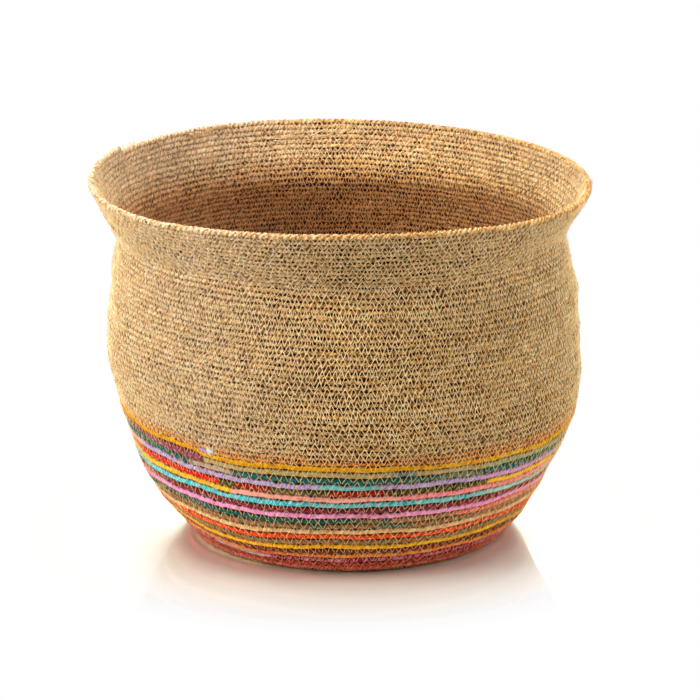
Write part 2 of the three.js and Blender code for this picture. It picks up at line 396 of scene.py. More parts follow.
class Wire:
    """A socket of a material's nodes, on which Python's arithmetic works."""

    def __init__(self, tree, socket=None):
        self.tree = tree
        self.socket = socket

    def node(self, kind, settings=None, values=None, output=0):
        """Adds a node: its settings, then the values or links of its sockets."""
        made = self.tree.nodes.new("ShaderNode" + kind)
        for key, setting in (settings or {}).items():
            setattr(made, key, setting)
        for key, value in (values or {}).items():
            if isinstance(value, Wire):
                self.tree.links.new(value.socket, made.inputs[key])
            else:
                made.inputs[key].default_value = value
        return Wire(self.tree, made.outputs[output])

    def maths(self, operation, *values):
        return self.node("Math", {"operation": operation}, dict(enumerate(values)))

    def __add__(self, other):
        return self.maths("ADD", self, other)

    def __radd__(self, other):
        return self.maths("ADD", other, self)

    def __sub__(self, other):
        return self.maths("SUBTRACT", self, other)

    def __rsub__(self, other):
        return self.maths("SUBTRACT", other, self)

    def __mul__(self, other):
        return self.maths("MULTIPLY", self, other)

    def __rmul__(self, other):
        return self.maths("MULTIPLY", other, self)

    def clamped(self, low, high):
        """From 0 at low to 1 at high, and flat beyond both."""
        span = {"From Min": low, "From Max": high}
        return self.node("MapRange", {"clamp": True}, {"Value": self, **span})

    def mixed(self, first, second):
        """The first colour where this is 0 and the second where it is 1."""
        return self.node("Mix", {"data_type": "RGBA"}, {0: self, 6: first, 7: second}, 2)

    def stored(self, name, output="Fac"):
        """A fact kept at the mesh's points."""
        return self.node("Attribute", {"attribute_name": name}, output=output)

    def body(self):
        """Where a point is on the basket, in metres."""
        return self.node("TexCoord", output="Object")

    def noise(self, scale, detail=2.0, stretch=(1, 1, 1)):
        """Noise from 0 to 1 over this vector, stretched on each axis."""
        placed = self.node("Mapping", {}, {"Vector": self, "Scale": stretch})
        return self.node("TexNoise", {}, {"Vector": placed, "Scale": scale, "Detail": detail})

    def streaks(self, along, around, detail=2.0):
        """Noise over the lay of a strand: how fine it is along the strand and around it."""
        return self.noise(1.0, detail, (along, around, around))


def new_material(name):
    """A material and a wire on which its nodes start."""
    material = bpy.data.materials.new(name)
    material.use_nodes = True
    return material, Wire(material.node_tree)


def finish_material(material, colour, roughness, height, depth, shine=0.12):
    """Puts a colour, a roughness and a relief of some depth on the material's surface."""
    tree = material.node_tree
    surface = tree.nodes["Principled BSDF"]
    relief = Wire(tree).node("Bump", {}, {"Height": height, "Distance": depth})
    tree.links.new(colour.socket, surface.inputs["Base Color"])
    tree.links.new(roughness.socket, surface.inputs["Roughness"])
    tree.links.new(relief.socket, surface.inputs["Normal"])
    surface.inputs["Specular IOR Level"].default_value = shine
    return material


# Painted shade in the seams' gaps, broken up by clumps of fibre
GAP_CLUMPS = 230.0  # how fine the clumps of fibre are that fill a gap in places
GAP_EDGE = 0.3  # how softly a gap starts across the cord
GAP_OPENS = (0.14, 0.4)  # of a stitch, from the thread: where it opens, and is open
GAP_RAGGED = 0.8  # how much the clumps move its edge across the cord
GAP_UNEVEN = 0.6  # and along it


def painted_seam_shade(start, reach, least):
    """How much shade is painted into the seams, from 0 to 1: most between two stitches, and least
    where the thread crosses a seam. A gap starts at its reach from the middle of the cord, whose
    edge is at 1."""
    gap = start.maths("PINGPONG", start.stored("stitch"), 0.5)
    clumps = start.body().noise(GAP_CLUMPS) - 0.5
    near = (start.stored("deep") + clumps * GAP_RAGGED).clamped(reach, reach + GAP_EDGE)
    between = (gap + clumps * GAP_UNEVEN).clamped(*GAP_OPENS)
    return near * (least + between * (1 - least))


STRAW = dye("ffd88c")
GOLD = dye("c88c2c")
PINK_STRAW = dye("d28e50")
BROWN = dye("743a0c")
# Painted shade for the seams, the pits and between the threads
PAINTED_CREVICE_SHADE = dye("360e00")
# Painted shade deep inside, with a browner tone
INSIDE_SHADE_BROWN = dye("d48a48")
RUST = dye("a8552e")
# Painted highlight on the lamp-lit left side, and the paler colour of the flare
PAINTED_HIGHLIGHT_PALE = dye("ffe5c8")
FLARE_PALES = (48, 52)  # the turns over which the outer face grows paler
FLARE_PALES_INSIDE = (54, 58)
LIT_LEFT_REACH = 0.11  # this far left of the middle the left lamp's painted highlight is full
STAIN_EDGE = 0.03  # turns over which a stain sets in
STAIN_FADE = 0.9  # and over which it fades
JUTE_RELIEF = 0.0014
PATCH_SIZE = 20.0  # how fine its dark patches are, and the painted shade in its pits and in spots of its seams
PIT_SIZE = 380.0
DEEPER_SHADE_SPOT_SIZE = 70.0
JUTE_GAP_REACH = 0.36
JUTE_GAP_LEAST = 0.14


def jute_material(name, tint=None, tint_from=0.0, tint_to=0.0, bleach=0.0):
    """Raw jute fibre: straw to brown streaks that follow the strands, with painted shade between
    the turns and deep inside. A painted highlight lightens the lamp-lit left side, and the flare
    is paler."""
    material, start = new_material(name)
    lay = start.stored("lay", "Vector")
    body = start.body()
    lengths = lay.streaks(40, 0.6)
    bundles = lay.streaks(260, 1.5)
    fibres = lay.streaks(420, 3)
    specks = lay.streaks(90, 0.9, 1.0)
    hanks = lay.streaks(5, 0.1, 1.0)
    patches = body.noise(PATCH_SIZE)
    pits = body.noise(PIT_SIZE, 1.0)
    colour = lengths.clamped(0.44, 0.58).mixed(GOLD, PINK_STRAW)
    colour = bundles.clamped(0.46, 0.58).mixed(colour, STRAW)
    colour = ((patches + hanks).clamped(0.98, 1.2) * 0.4).mixed(colour, BROWN)

    # Brown streaks and rusty specks, with fewer streaks on the flare and more in the painted shade
    # deep inside
    outer = start.stored("outer")
    inner = start.stored("inner")
    turn = start.stored("turn")
    flare_outside = turn.clamped(*FLARE_PALES) * outer
    flare_inside = turn.clamped(*FLARE_PALES_INSIDE) * (1 - outer)
    streaks = 0.78 - flare_outside * 0.52 - flare_inside * 0.36 + inner * 0.1
    colour = (fibres.clamped(0.5, 0.64) * streaks).mixed(colour, BROWN)
    colour = (specks.clamped(0.7, 0.74) * 0.6).mixed(colour, RUST)

    # A painted highlight on the lamp-lit left side, a paler flare, a stain from the rags, and
    # painted shade deep inside, browner there
    lit_left = (0 - body.node("SeparateXYZ", {}, {0: body}, "X")).clamped(0, LIT_LEFT_REACH)
    highlight_and_pale = lit_left * 0.5 + flare_outside * 0.2 + flare_inside * 0.26 + bleach
    colour = (bundles.clamped(0.3, 0.6) * highlight_and_pale).mixed(colour, PAINTED_HIGHLIGHT_PALE)
    if tint:
        stained = turn.clamped(tint_from, tint_from + STAIN_EDGE)
        stained = stained * (1 - turn.clamped(tint_to - STAIN_FADE, tint_to))
        colour = (stained * bundles.clamped(0.26, 0.46) * 0.9).mixed(colour, tint)
        colour = (stained * specks.clamped(0.56, 0.6) * 0.8).mixed(colour, RUST)
    colour = (inner * (1.45 - bundles * 1.5)).mixed(colour, INSIDE_SHADE_BROWN)

    # Painted shade in the pits between the fibres and in the gaps at the seams: deeper in spots,
    # less on the lamp-lit left side and the inner flare, and more deep inside
    colour = (pits.clamped(0.57, 0.67) * 0.7).mixed(colour, PAINTED_CREVICE_SHADE)
    deeper_shade_spots = body.noise(DEEPER_SHADE_SPOT_SIZE, 1.0).clamped(0.38, 0.62) * 0.7
    deeper_shade_spots = deeper_shade_spots - lit_left * 0.45 - flare_inside * 0.5 + inner * 0.3
    seam_shade = painted_seam_shade(start, JUTE_GAP_REACH, inner * 0.4 + JUTE_GAP_LEAST)
    colour = (seam_shade * (deeper_shade_spots + 0.93)).mixed(colour, PAINTED_CREVICE_SHADE)
    roughness = 0.78 + fibres * 0.2
    return finish_material(material, colour, roughness, fibres + bundles, JUTE_RELIEF)


jute = jute_material("raw_jute")


def tapered(count, least):
    """How full a cord is at each of its rings: least at both ends, and 1 from the third one in."""
    rings = np.arange(count)
    return np.clip(np.minimum(rings, rings[::-1]) / 2, least, 1)


def add_cord(name, turns, metres, around, angle, along, out, material):
    """A cord on the spiral, from each point's place in its section: along the wall and out."""
    turn = turns[:, None]
    rings = on_wall(middle(turn), along, out, angle_at(turn))
    return add_tubes(name, rings[None], cord_facts(turns, metres, around, angle), material)


JUTE_LAY = 0.0104  # cord length in which its two strands go once around each other
JUTE_STEP = 0.0013
JUTE_WAVERS = 24  # how often in a turn the twist strays
JUTE_LUMPS = [(0.05, 60), (0.03, 260)]  # share of its thickness, and how many in a turn
JUTE_STRAYS_ALONG = [(0.0001, 40)]  # metres along the wall and out of it, how many in a turn
JUTE_STRAYS_OUT = [(0.00018, 50), (0.0001, 400)]
JUTE_PRESSED = 0.85  # how flat it is where it meets its neighbours
JUTE_REACH = 0.58  # of a turn's width, from the cord's middle to a pressed side
JUTE_END = 0.5  # how full it is at a cut end
SPLICE_OVERLAP = 0.003  # of a turn, by which each length of cord runs on into the next


def jute_cord(name, start, end, seed, material, sides=8, groove=0.24, fuller=1.0, waver=0.5):
    """A length of bare two-strand cord on the spiral, pressed where it meets its neighbours.
    Groove is how far its strands lie from its middle, and waver how far its twist strays."""
    rng = np.random.default_rng(seed)
    turns, metres = turns_every(JUTE_STEP, start - SPLICE_OVERLAP, end + SPLICE_OVERLAP)
    around = spokes(sides)
    twist = 2 * np.pi * metres / JUTE_LAY + waver * uneven(rng, turns, JUTE_WAVERS)
    angle = twist[:, None] + around[None, :]
    strand = groove * np.abs(np.cos(around))
    envelope = strand + np.sqrt((1 - groove) ** 2 - (groove * np.sin(around)) ** 2)
    free = (np.cos(angle) > 0) & (turns[:, None] > RIM_TURN)
    press = np.where(free, 0, JUTE_PRESSED * np.cos(angle) ** 2)
    pressed = 1 - (1 - envelope[None, :]) * (1 - press)
    plump = fuller * lumpy(rng, turns, JUTE_LUMPS, 1)
    size = (plump * tapered(len(turns), JUTE_END))[:, None] * pressed
    along = size * np.cos(angle) * JUTE_TURN_WIDTH * np.where(free, 0.5, JUTE_REACH)
    out = size * np.sin(angle) * JUTE_THICKNESS * 0.5
    along += lumpy(rng, turns, JUTE_STRAYS_ALONG)[:, None]
    out += lumpy(rng, turns, JUTE_STRAYS_OUT)[:, None]
    return add_cord(name, turns, metres, around, angle, along, out, material)


base_cord = jute_cord("base_coil_cord", -BASE_TURNS, -1, 1, jute)
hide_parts("base_coil")

END_HEIGHTS = np.array([0.0006, 0.0014, 0.0036, 0.0045])
END_RADII = np.array([0.0016, 0.0028, 0.0028, 0.0016])
END_SIDES = 12


def tucked_end():
    """The cord's first end, turned up on end in the middle of the base."""
    around = spokes(END_SIDES)
    rings = np.zeros((len(END_HEIGHTS), END_SIDES, 3))
    rings[..., :2] = END_RADII[:, None, None] * np.stack([np.cos(around), np.sin(around)], -1)
    rings[..., :2] += BASE_OFFSET
    rings[..., 2] = END_HEIGHTS[:, None]
    turns = np.full(len(END_HEIGHTS), -BASE_TURNS)
    face = np.where(END_HEIGHTS > JUTE_THICKNESS / 2, -math.pi / 2, math.pi / 2)
    facts = cord_facts(turns, END_HEIGHTS, around, face[:, None] + 0 * around)
    add_tubes("base_coil_cord_end", rings[None], facts, jute)


tucked_end()

edge_cord = jute_cord("base_edge_jute_cord", -1, 0, 2, jute, fuller=1.12)
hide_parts("base_edge_cord")

# THE RAG-WRAPPED TURNS
# Up the lower wall the cord is wrapped in torn strips of old cotton cloth, wound round it at a
# slant. Lengths in different colours are spliced end to end, so each colour runs about a turn.

RAG_PITCH = 0.011  # cord length that one turn of the strip covers
RAG_STEP = 0.0012
RAG_SIDES = 10
RAG_OVERLAP = 0.09  # how proud its edge stands, as a share of the cord's radius
RAG_FOLDS = 0.09  # and the folds in the cloth
RAG_WAVERS = 14  # how often in a turn the slant of the winding strays
RAG_LUMPS = [(0.045, 40), (0.03, 160)]
RAG_STRAYS_ALONG = [(0.00012, 30)]
RAG_STRAYS_OUT = [(0.0002, 40)]
RAG_REACH = 0.55  # of a turn's width, from the cord's middle to its side
RAG_END = 0.6  # how full it is at a splice
RAG_RELIEF = 0.0007
RAG_GAP_REACH = 0.56
RAG_GAP_LEAST = 0.75
PATCH_EDGE = 0.003  # turns over which a patch starts and ends
PATCH_RAGGED = 0.012  # turns by which its edge strays
CLOTH_PIT_SIZE = 360.0  # how fine its pits are, and the lint on it
LINT_SIZE = 410.0

# From the bottom up: node, start turn, colours of the cloth (main, shade, fleck), and patches of
# another cloth (from turn, to turn, colour)
RAG_CORDS = [
    ("cord_01_rose", -0.006, "c2423e", "962e2e", "ec8a7c", []),
    ("cord_02_dark_red", 1.02, "a21c12", "6a2a12", "d85038", []),
    ("cord_03_magenta", 2.21, "9c083e", "720430", "ea9cb0", [(2.75, 2.81, "c9a8b4")]),
    ("cord_04_tan_orange", 3.08, "d47c28", "e45a12", "f4b464", [(3.74, 3.76, "d8482c")]),
    ("cord_05_dark_brown", 4.27, "70260e", "78180c", "263c20", [(4.73, 4.8, "7e2626")]),
    ("cord_06_mustard", 5.12, "f4a804", "fcc00c", "bc7804", []),
    ("cord_07_olive_brown", 6.3, "8e6c32", "985430", "1c6c58", []),
    ("cord_08_orange_red", 7.04, "ec4010", "d83008", "fc7c3c", []),
    ("cord_09_cream", 8.24, "e8ae70", "cc9054", "fce4b4", []),
    (
        "cord_10_flecked_brown", 9.1, "926a3c", "a46038", "0c5c4c",
        [(9.627, 9.648, "0c5c4c"), (9.689, 9.702, "0c5c4c")],
    ),
    ("cord_11_coral", 10.17, "ea6c4c", "d05434", "ffa488", [(10.588, 10.64, "94704a")]),
    ("cord_12_deep_teal", 10.64, "005a4e", "00423a", "0a7464", [(10.648, 10.664, "7a6648")]),
    ("cord_13_orchid", 11.28, "fa90c6", "e87ab2", "ffc0e0", [(11.86, 12.06, "e08a90")]),
    ("cord_14_maroon", 12.06, "84162c", "560c1e", "a04050", []),
    ("cord_15_turquoise", 13.22, "1ac4cc", "0cacbc", "bce4d8", [(13.4, 13.57, "a0d0c0")]),
    ("cord_16_pink", 14.05, "ff8088", "ff6078", "ffc4b8", [(14.638, 14.76, "ffa898")]),
    ("cord_17_golden", 14.76, "fab808", "eca204", "ffd838", [(15.48, 15.49, "5a7a38")]),
    (
        "cord_18_dark_green", 15.57, "38421a", "24300e", "7c6828",
        [(15.648, 15.688, "a80c0c"), (15.704, 15.727, "6e5a30"), (15.73, 15.755, "a80c0c")],
    ),
    ("cord_19_bright_red", 15.77, "e41c12", "c01010", "fc5040", []),
    (
        "cord_20_lavender", 16.2, "b294c0", "987cac", "dccce0",
        [(16.5, 16.58, "d090c4"), (16.655, 16.695, "58c0bc"), (16.85, 17.08, "d0a898")],
    ),
    (
        "cord_21_teal", 17.08, "006054", "004840", "0c8070",
        [(17.585, 17.612, "6a7a5a"), (17.757, 17.792, "c0a080")],
    ),
    (
        "cord_22_grey_beige", 18.24, "c8a45c", "ae9050", "80988a",
        [(18.3, 18.58, "8f9a68"), (18.63, 18.646, "4a7478")],
    ),
    ("cord_23_old_maroon", 18.78, "8c3c48", "6c2c38", "b87080", [(18.87, 19.2, "9a7a50")]),
    ("cord_24_yellow", 19.2, "dc9804", "c87c04", "f0bc18", []),
]

LINT = dye("ecc88e")


def rag_material(name, main, shade, fleck, patches):
    """Old printed cotton: each winding of the strip has its own shade of colour, with worn
    threads, and painted shade between the threads, in pits and at the seams.
    """
    material, start = new_material(name)
    lay = start.stored("lay", "Vector")
    windings = lay.streaks(90, 1.6, 1.0)
    threads = lay.streaks(330, 3)
    worn = lay.streaks(190, 2.2)
    body = start.body()
    pits = body.noise(CLOTH_PIT_SIZE, 1.0)
    lint = body.noise(LINT_SIZE, 1.0, (1, 1, 0.7))
    colour = windings.clamped(0.44, 0.56).mixed(dye(main), dye(shade))
    colour = (worn.clamped(0.53, 0.6) * 0.85).mixed(colour, dye(fleck))
    turn = start.stored("turn") + (worn - 0.5) * PATCH_RAGGED
    for since, until, patch in patches:
        inside = turn.clamped(since - PATCH_EDGE, since + PATCH_EDGE)
        inside = inside * (1 - turn.clamped(until - PATCH_EDGE, until + PATCH_EDGE))
        colour = (inside * 0.9).mixed(colour, dye(patch))
    colour = (lint.clamped(0.6, 0.68) * 0.1).mixed(colour, LINT)
    # Painted shade between the threads, in pits and at the seams
    colour = (threads.clamped(0.52, 0.64) * 0.4).mixed(colour, PAINTED_CREVICE_SHADE)
    colour = (pits.clamped(0.6, 0.68) * 0.4).mixed(colour, PAINTED_CREVICE_SHADE)
    colour = painted_seam_shade(start, RAG_GAP_REACH, RAG_GAP_LEAST).mixed(colour, PAINTED_CREVICE_SHADE)
    roughness = 0.8 + threads * 0.18
    return finish_material(material, colour, roughness, threads + worn, RAG_RELIEF)


def rag_cord(name, start, end, seed, material):
    """A length of wrapped cord: the strip's overlapping edges run round it at a slant."""
    rng = np.random.default_rng(seed)
    turns, metres = turns_every(RAG_STEP, start - SPLICE_OVERLAP, end + SPLICE_OVERLAP)
    around = spokes(RAG_SIDES)
    angle = (2 * np.pi * metres / RAG_PITCH + uneven(rng, turns, RAG_WAVERS))[:, None] + around
    overlap = RAG_OVERLAP * (np.arange(RAG_SIDES) / RAG_SIDES - 0.5)
    folds = rng.uniform(-1, 1, (len(turns) + 4, RAG_SIDES))
    folds = sum(folds[i:i + len(turns)] for i in range(5)) / 5
    plump = lumpy(rng, turns, RAG_LUMPS, 1) * tapered(len(turns), RAG_END)
    size = plump[:, None] * (1 + overlap + RAG_FOLDS * folds)
    along = size * np.cos(angle) * WRAPPED_TURN_WIDTH * RAG_REACH
    out = size * np.sin(angle) * WRAPPED_THICKNESS * 0.5
    along += lumpy(rng, turns, RAG_STRAYS_ALONG)[:, None]
    out += lumpy(rng, turns, RAG_STRAYS_OUT)[:, None]
    return add_cord(name, turns, metres, around, angle, along, out, material)


for i, (node, start, main, shade, fleck, patches) in enumerate(RAG_CORDS):
    end = RAG_CORDS[i + 1][1] if i + 1 < len(RAG_CORDS) else WRAPPED_TURNS
    cloth = node.split("_", 2)[2]
    material = rag_material("rag_" + cloth, main, shade, fleck, patches)
    cord = rag_cord("wrapped_" + node, start, end, 100 + i, material)
    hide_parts(node)

# THE BARE JUTE WALL
# Above the rags the cord is bare jute again, up over the belly and the shoulder to the neck and
# out into the flare. The first bare turn has taken up some dye from the rags below it.

RAG_DYE = dye("f08810")
STAIN_TURNS = (20.0, 22.2)  # from where to where the dye has run
JUTE_BANDS = [  # and the turns that each runs from and to
    ("lower_wall", WRAPPED_TURNS, 29),
    ("belly", 29, 38),
    ("shoulder", 38, 46),
    ("neck", 46, 53),
    ("flare", 53, RIM_TURN),
]

stained_jute = jute_material("stained_jute", RAG_DYE, *STAIN_TURNS)
for i, (band, start, end) in enumerate(JUTE_BANDS):
    material = jute if i else stained_jute
    cord = jute_cord(f"{band}_jute_cord", start, end, 11 + i, material)
    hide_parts(f"jute_{band}")

# THE RIM CORD
# The last turn is the rim. It has no turn above it, so the twist of its two strands shows, and it
# ends in a step at the back left where the cord is cut off and stitched down.

RIM_END = 63.972  # turns
RIM_SIDES = 14
RIM_GROOVE = 0.34  # how far its strands lie from its middle
RIM_FULLER = 1.12  # thicker, as nothing presses it from above
RIM_WAVER = 2.2  # radians by which its twist strays

rim_jute = jute_material("rim_jute", bleach=-0.12)
rim = jute_cord(
    "rim_jute_cord", RIM_TURN, RIM_END, 20, rim_jute, RIM_SIDES, RIM_GROOVE, RIM_FULLER, RIM_WAVER
)
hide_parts("jute_rim")

# THE STITCHING
# A golden cotton thread is machine-stitched in a zigzag over every seam between two turns, and
# shows on both faces. Its legs reach past the middle of each turn, so those of two seams cross.

THREAD_RADIUS = 0.00026  # on the bare jute
THREAD_RADIUS_TIGHT = 0.0002  # on the rags and inside, where it is pulled tighter
THREAD_PROUD = 0.0001  # how far the thread's middle stands over the crest of a turn
THREAD_UNDER = 0.0003  # how far it is pressed in under the base
THREAD_LUMPS = [(0.2, 200)]  # share of its radius, and how many in a turn
THREAD_RELIEF = 0.0002
CLOTH_GIVES = 0.0002  # how much thinner a wrapped turn is under the thread
THREAD_LOWEST = 0.0003  # least height of its middle over the floor
FLOOR_GAP = 0.00005  # and of its underside
HIDDEN_SPOTS = 90  # places in a turn, at most, where fibres hide the thread
HIDDEN_DEPTH = 0.0006  # how much deeper it is there
TIGHT_DEPTH = 0.00025  # and where it is pulled tight into the rags at the left
TIGHT_SIDE = (212, 0.25)  # degrees around, and how wide
HOLE_DEPTH = 0.0012
# Shares of a leg of the zigzag, and how deep the thread is there
OUTSIDE_BENDS = [(0, HOLE_DEPTH), (0.12, 0), (0.5, 0.0003), (0.88, 0)]
INSIDE_BENDS = [(0, HOLE_DEPTH), (0.16, 0), (0.84, 0)]
STITCHED_FACES = [("outside", 1, 5, OUTSIDE_BENDS), ("inside", -1, 4, INSIDE_BENDS)]

THREAD_SHADE_TURNS = (0, 7)  # over these the thread's painted shade, darker and redder, fades out going up
CREAM_TURNS = (20.0, 22.0)  # over these it turns from golden to bleached cream


def thread_material():
    """Twisted cotton: golden on the rags, darker and redder on the lowest of them, with painted
    shade, bleached to cream on the jute above, and with painted shade deep inside."""
    material, start = new_material("stitching_thread")
    lay = start.stored("lay", "Vector")
    turn = start.stored("turn")
    strands = lay.streaks(500, 2.5)
    lengths = lay.streaks(30, 0.1)
    golden = lengths.clamped(0.4, 0.6).mixed(dye("ffd89a"), dye("f0b86c"))
    golden = turn.clamped(*THREAD_SHADE_TURNS).mixed(dye("b46a44"), golden)
    cream = lengths.clamped(0.4, 0.6).mixed(dye("ffecb8"), dye("f4cc8c"))
    colour = turn.clamped(*CREAM_TURNS).mixed(golden, cream)
    colour = (strands.clamped(0.5, 0.8) * 0.3).mixed(colour, BROWN)
    # Painted shade on the thread deep inside
    colour = (start.stored("inner") * 0.7).mixed(colour, dye("e4a468"))
    roughness = 0.6 + strands * 0.2
    return finish_material(material, colour, roughness, strands, THREAD_RELIEF, shine=0.3)


thread = thread_material()


def tube_rings(path, normal, radius, sides):
    """Rings of a round tube along paths of points, with the wall's outward direction at each."""
    normal = normal / np.linalg.norm(normal, axis=-1, keepdims=True)
    way = np.gradient(path, axis=-2)
    way -= normal * (way * normal).sum(-1, keepdims=True)
    way /= np.linalg.norm(way, axis=-1, keepdims=True)
    across = np.cross(way, normal)
    around = spokes(sides)
    spoke = normal[..., None, :] * np.sin(around)[:, None]
    spoke = spoke + across[..., None, :] * np.cos(around)[:, None]
    rings = path[..., None, :] + np.expand_dims(radius, (-1, -2)) * spoke
    rings[..., 2] = np.maximum(rings[..., 2], FLOOR_GAP)
    return rings


def half_thickness(place, face):
    """From the middle of the wall out to the crest of the cord, on one of its faces."""
    wrapped = (place > 0) & (place < lower_side(WRAPPED_TURNS))
    crest = np.where(wrapped, WRAPPED_THICKNESS - CLOTH_GIVES, JUTE_THICKNESS) / 2
    return np.where((place < 0) & (face > 0), crest - THREAD_UNDER, crest + THREAD_PROUD)


def zigzag(start, end, face, sides, bends):
    """The thread over the seams above the turns from start to end: its rings and their facts."""
    first, last = np.searchsorted(HOLES, (start, end))
    turn = HOLES[first:last + 1]
    place = HOLE_PLACES[first:last + 1]
    share, sunk = np.array(bends).T
    legs = len(turn) - 1
    turn = (turn[:-1, None] + np.diff(turn)[:, None] * share).ravel()
    place = (place[:-1, None] + np.diff(place)[:, None] * share).ravel()
    rng = np.random.default_rng(int(first) + 7)
    hidden = np.clip(uneven(rng, turn, HIDDEN_SPOTS) * 1.5 - 0.25, 0, 1)
    hidden = hidden * (start >= WRAPPED_TURNS)
    angle = angle_at(turn)
    wrapped = (turn > 0) & (turn < WRAPPED_TURNS - 0.5)
    tight = wrapped * beside(angle, *TIGHT_SIDE)
    sunk = np.tile(sunk, legs) + HIDDEN_DEPTH * hidden + TIGHT_DEPTH * tight
    out = face * (half_thickness(place, face) - sunk)
    path = on_wall(place, 0, out, angle, THREAD_LOWEST)
    normal = on_wall(place, 0, out + 0.001, angle, -1) - on_wall(place, 0, out, angle, -1)
    radius = np.where(wrapped | (face < 0), THREAD_RADIUS_TIGHT, THREAD_RADIUS)
    rings = tube_rings(path, normal, radius * lumpy(rng, turn, THREAD_LUMPS, 1), sides)
    length = np.concatenate([[0], np.cumsum(np.linalg.norm(np.diff(path, axis=0), axis=1))])
    inner = down_inside(turn) if face < 0 else 0 * turn
    return rings[None], {
        "lay": lay_at(length, spokes(sides))[None],
        "turn": turn[None, :, None],
        "inner": inner[None, :, None],
    }


for band, start, end in [
    ("base", -BASE_TURNS, 0),
    ("lower_rag_turns", 0, 10),
    ("upper_rag_turns", 10, WRAPPED_TURNS),
    *JUTE_BANDS,
]:
    for side, face, sides, bends in STITCHED_FACES:
        rings, facts = zigzag(start, end, face, sides, bends)
        add_tubes(f"stitching_{band}_{side}", rings, facts, thread)

# THE LOOSE FIBRES
# Jute is a hairy fibre: short ends work out of the twist all over both faces and along the rim.
# They are still held in the cord at one end.

FIBRE_RADIUS = 0.00011
STRAW_RADIUS = 0.00024
FIBRE_RELIEF = 0.0001
FIBRE_POINTS = 6
FIBRE_SIDES = 3
FIBRE_ROOT = 0.0002  # how deep it starts in the cord
FIBRE_SHORTEST = 0.35  # share of the greatest length
FIBRE_FLATTEST = 0.15  # share of the greatest lift
FIBRE_THINS = 0.7  # share of its radius that it loses by its tip
WALL_RADIUS = 0.19  # roughly, for the metres of cord in a turn
HAIRY_TURNS = (WRAPPED_TURNS, RIM_TURN - 0.2)
RIM_CREST = WALL_LENGTH - 0.0012


def fibre_material(name, pale, deep):
    """Single fibres, from pale to deep along them, and browner down inside, with painted shade."""
    material, start = new_material(name)
    strands = start.stored("lay", "Vector").streaks(40, 0.3)
    colour = strands.clamped(0.4, 0.6).mixed(dye(pale), dye(deep))
    colour = (start.stored("inner") * 0.7).mixed(colour, INSIDE_SHADE_BROWN)
    return finish_material(material, colour, 0.75 + strands * 0.1, strands, FIBRE_RELIEF)


loose_fibre = fibre_material("loose_jute_fibre", "f6d69c", "b8863e")


def fibres(name, seed, turns, places, face, heading, length, lift, radius, material):
    """Bent fibres that start on a face of the wall, each at its own turn and place, and lift off
    it. Heading is the mean and the spread of their direction, in radians from the cord's; length,
    lift and radius are the most."""
    rng = np.random.default_rng(seed)
    count = len(turns)
    share = np.linspace(0, 1, FIBRE_POINTS)
    bend = rng.uniform(-1, 1, (count, 1)) * share
    spread = rng.normal(0, 1, (count, 1))
    way = heading[0] + heading[1] * spread + bend
    step = length * rng.uniform(FIBRE_SHORTEST, 1, (count, 1)) / (FIBRE_POINTS - 1)
    root = np.zeros((count, 1))
    went = step * np.concatenate([root, np.cos(way[:, 1:]).cumsum(1)], 1)
    rose = step * np.concatenate([root, np.sin(way[:, 1:]).cumsum(1)], 1)
    turn = turns[:, None] + went / (2 * math.pi * WALL_RADIUS)
    place = places[:, None] + rose
    tucked = rng.uniform(0, 1, (count, 1))
    raised = (1 - tucked) * share ** 1.6 + tucked * np.sin(math.pi * share) * 0.7
    out = half_thickness(place, face) - FIBRE_ROOT
    out = out + lift * rng.uniform(FIBRE_FLATTEST, 1, (count, 1)) * raised
    path = on_wall(place, 0, face * out, angle_at(turn))
    normal = on_wall(place, 0, face * out + 0.001, angle_at(turn), -1) - path
    rings = tube_rings(path, normal, radius * (1 - FIBRE_THINS * share) + 0 * turn, FIBRE_SIDES)
    metres = went + rng.uniform(0, 50, (count, 1))
    inner = (down_inside(turn) if face < 0 else 0 * turn)[..., None]
    facts = {"lay": lay_at(metres, spokes(FIBRE_SIDES)), "turn": turn[..., None], "inner": inner}
    return add_tubes(name, rings, facts, material)


for kind, seed, counts, heading, length, lift, radius in [
    ("loose_fibres", 300, (5200, 3600), (0, 0.45), 0.016, 0.0022, FIBRE_RADIUS),
    ("short_straws", 330, (6000, 4000), (0.15, 0.5), 0.007, 0.0006, STRAW_RADIUS),
]:
    for side, face, count in zip(("outside", "inside"), (1, -1), counts):
        rng = np.random.default_rng(seed + face)
        turns = rng.uniform(*HAIRY_TURNS, count)
        places = lower_side(turns) + rng.uniform(0, 1, count) * JUTE_TURN_WIDTH
        fibres(
            f"{kind}_{side}", seed + 10 + face, turns, places, face, heading, length, lift,
            radius, loose_fibre,
        )

RIM_FIBRES = 300
turns = np.random.default_rng(320).uniform(RIM_TURN, RIM_END - 0.02, RIM_FIBRES)
places = np.full(RIM_FIBRES, RIM_CREST)
fibres(
    "loose_fibres_rim", 321, turns, places, 1, (0.12, 0.3), 0.009, 0.001, FIBRE_RADIUS,
    loose_fibre,
)

# THE FRAYED SPOTS
# Ends stick out where the rim cord is cut off, where the rim and the neck have rubbed, where a rag
# is tucked in above the yellow turn, and from a few broken straws inside.

pale_fibre = fibre_material("pale_jute_fibre", "f8dcaa", "d2a468")
lavender_end = fibre_material("lavender_rag_end", "c8b2dc", "a890c4")
white_end = fibre_material("white_rag_end", "fff6ea", "d8e4e0")


def frayed(name, seed, turn, place, face, count, spread, heading, reach, radius, material):
    """A tuft of ends around one spot; spread is in turns and metres, reach is length and lift."""
    rng = np.random.default_rng(seed)
    turns = turn + spread[0] * rng.uniform(-1, 1, count)
    places = place + spread[1] * rng.uniform(-1, 1, count)
    fibres(name, seed, turns, places, face, heading, *reach, radius, material)


RIM_TOP = WALL_LENGTH - 0.0025
STRAND_SPOT = 63.07  # turns, as the others
RIGHT_RIM_SPOT = 63.425
NECK_SPOT = 51.4
STRAW_SPOT = 60.15
TUCKED_SPOT = 20.774

